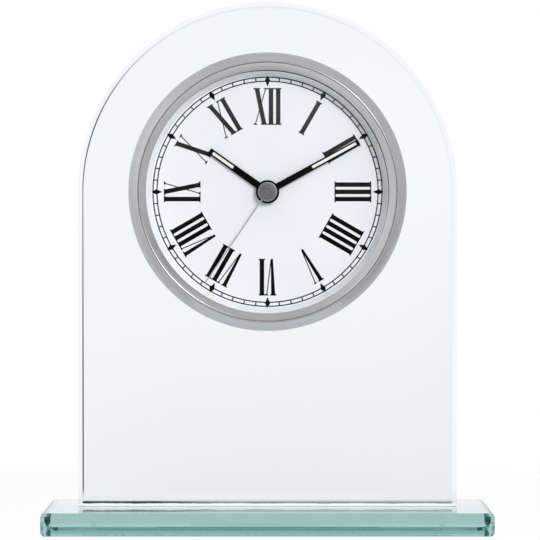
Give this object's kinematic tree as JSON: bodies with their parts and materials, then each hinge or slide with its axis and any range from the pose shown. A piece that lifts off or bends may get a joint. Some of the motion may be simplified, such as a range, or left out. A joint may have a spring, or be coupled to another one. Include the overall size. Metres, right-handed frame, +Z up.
{
  "type": "mantel clock",
  "caption": "Arched clear glass mantel clock on a glass base, with a satin silver bezel, white Roman dial, black baton hands and a quartz insert.",
  "frame": {"origin": "centre of the footprint, on the plane of the pads' undersides", "axes": "+X to the right seen from the front, +Y to the back, +Z up"},
  "size_m": [0.144, 0.046, 0.1716],
  "materials": {
    "clear_glass": "polished",
    "lens_glass": "polished",
    "clear_adhesive": "clear cured adhesive",
    "clear_pad": "soft clear",
    "satin_silver": "satin",
    "black_moulding": "fine texture",
    "black_rubber": "matt",
    "white_moulding": "smooth white",
    "dial_white": "satin white",
    "hand_black": "gloss black",
    "hand_fill": "matt cream",
    "bright_steel": "fine brushed",
    "natural_moulding": "natural moulding",
    "gear_moulding": "acetal",
    "brass_part": "turned",
    "magnet_dark": "sintered",
    "copper_wire": "enamelled wire",
    "board_green": "solder mask",
    "chip_black": "resin",
    "cell_jacket": "plain jacket"
  },
  "bodies": {
    "case": {"glass_base": "clear_glass", "base_pads": "clear_pad", "glass_panel": "clear_glass", "bond_film": "clear_adhesive", "bezel": "satin_silver", "lens": "lens_glass", "housing_cup": "black_moulding", "retaining_sleeve": "black_rubber", "spacer_ring": "white_moulding", "dial_plate": "dial_white", "movement_front_plate": "natural_moulding", "movement_middle_plate": "natural_moulding", "movement_rear_plate": "natural_moulding", "plate_screws": "bright_steel", "case_screws": "bright_steel", "stator": "bright_steel", "coil_core": "bright_steel", "coil_bobbin": "gear_moulding", "coil_winding": "copper_wire", "circuit_board": "board_green", "quartz_crystal": "bright_steel", "timing_chip": "chip_black", "contact_positive": "bright_steel", "contact_negative": "bright_steel"},
    "seconds": {"second_hand": "bright_steel", "second_hand_cap": "bright_steel", "second_wheel": "gear_moulding"},
    "third": {"third_wheel": "gear_moulding"},
    "centre": {"centre_wheel": "gear_moulding"},
    "intermediate": {"intermediate_wheel": "gear_moulding"},
    "rotor": {"rotor_pinion": "gear_moulding", "rotor_magnet": "magnet_dark"},
    "minutes": {"minute_hand": "hand_black", "minute_hand_lume": "hand_fill", "cannon_pinion": "brass_part", "clutch_spring": "bright_steel"},
    "motion": {"minute_wheel": "gear_moulding"},
    "hours": {"hour_hand": "hand_black", "hour_hand_lume": "hand_fill", "hour_wheel": "gear_moulding"},
    "setter": {"setting_arbor": "gear_moulding", "setting_knob": "black_moulding"},
    "cell": {"battery_cell": "cell_jacket"}
  },
  "joints": [
    {"name": "second_hand_spin", "type": "hinge", "parent": "case", "child": "seconds", "pos_m": [0, -0.002, 0.1102], "axis": [0, 1, 0], "continuous": true},
    {"name": "third_wheel_spin", "type": "hinge", "parent": "case", "child": "third", "pos_m": [0.00846, -0.002, 0.11328], "axis": [0, 1, 0], "continuous": true},
    {"name": "centre_wheel_spin", "type": "hinge", "parent": "case", "child": "centre", "pos_m": [0, -0.002, 0.1102], "axis": [0, 1, 0], "continuous": true},
    {"name": "intermediate_spin", "type": "hinge", "parent": "case", "child": "intermediate", "pos_m": [-0.00257, -0.002, 0.11725], "axis": [0, 1, 0], "continuous": true},
    {"name": "rotor_spin", "type": "hinge", "parent": "case", "child": "rotor", "pos_m": [0.00093, -0.002, 0.12331], "axis": [0, 1, 0], "continuous": true},
    {"name": "minute_hand_spin", "type": "hinge", "parent": "case", "child": "minutes", "pos_m": [0, -0.002, 0.1102], "axis": [0, 1, 0], "continuous": true},
    {"name": "minute_wheel_spin", "type": "hinge", "parent": "case", "child": "motion", "pos_m": [-0.00624, -0.002, 0.1138], "axis": [0, 1, 0], "continuous": true},
    {"name": "hour_hand_spin", "type": "hinge", "parent": "case", "child": "hours", "pos_m": [0, -0.002, 0.1102], "axis": [0, 1, 0], "continuous": true},
    {"name": "setting_knob_spin", "type": "hinge", "parent": "case", "child": "setter", "pos_m": [-0.01247, -0.002, 0.1174], "axis": [0, 1, 0], "continuous": true},
    {"name": "cell_slide", "type": "slide", "parent": "case", "child": "cell", "axis": [0, 1, 0], "range_m": [0, 0.03]}
  ],
  "couplings": [
    {"joint": "third_wheel_spin", "follows": "second_hand_spin", "ratio": -0.13333},
    {"joint": "centre_wheel_spin", "follows": "second_hand_spin", "ratio": 0.016667},
    {"joint": "intermediate_spin", "follows": "second_hand_spin", "ratio": -5},
    {"joint": "rotor_spin", "follows": "second_hand_spin", "ratio": 30},
    {"joint": "minute_wheel_spin", "follows": "minute_hand_spin", "ratio": -0.33333},
    {"joint": "hour_hand_spin", "follows": "minute_hand_spin", "ratio": 0.083333},
    {"joint": "setting_knob_spin", "follows": "minute_hand_spin", "ratio": 1}
  ]
}
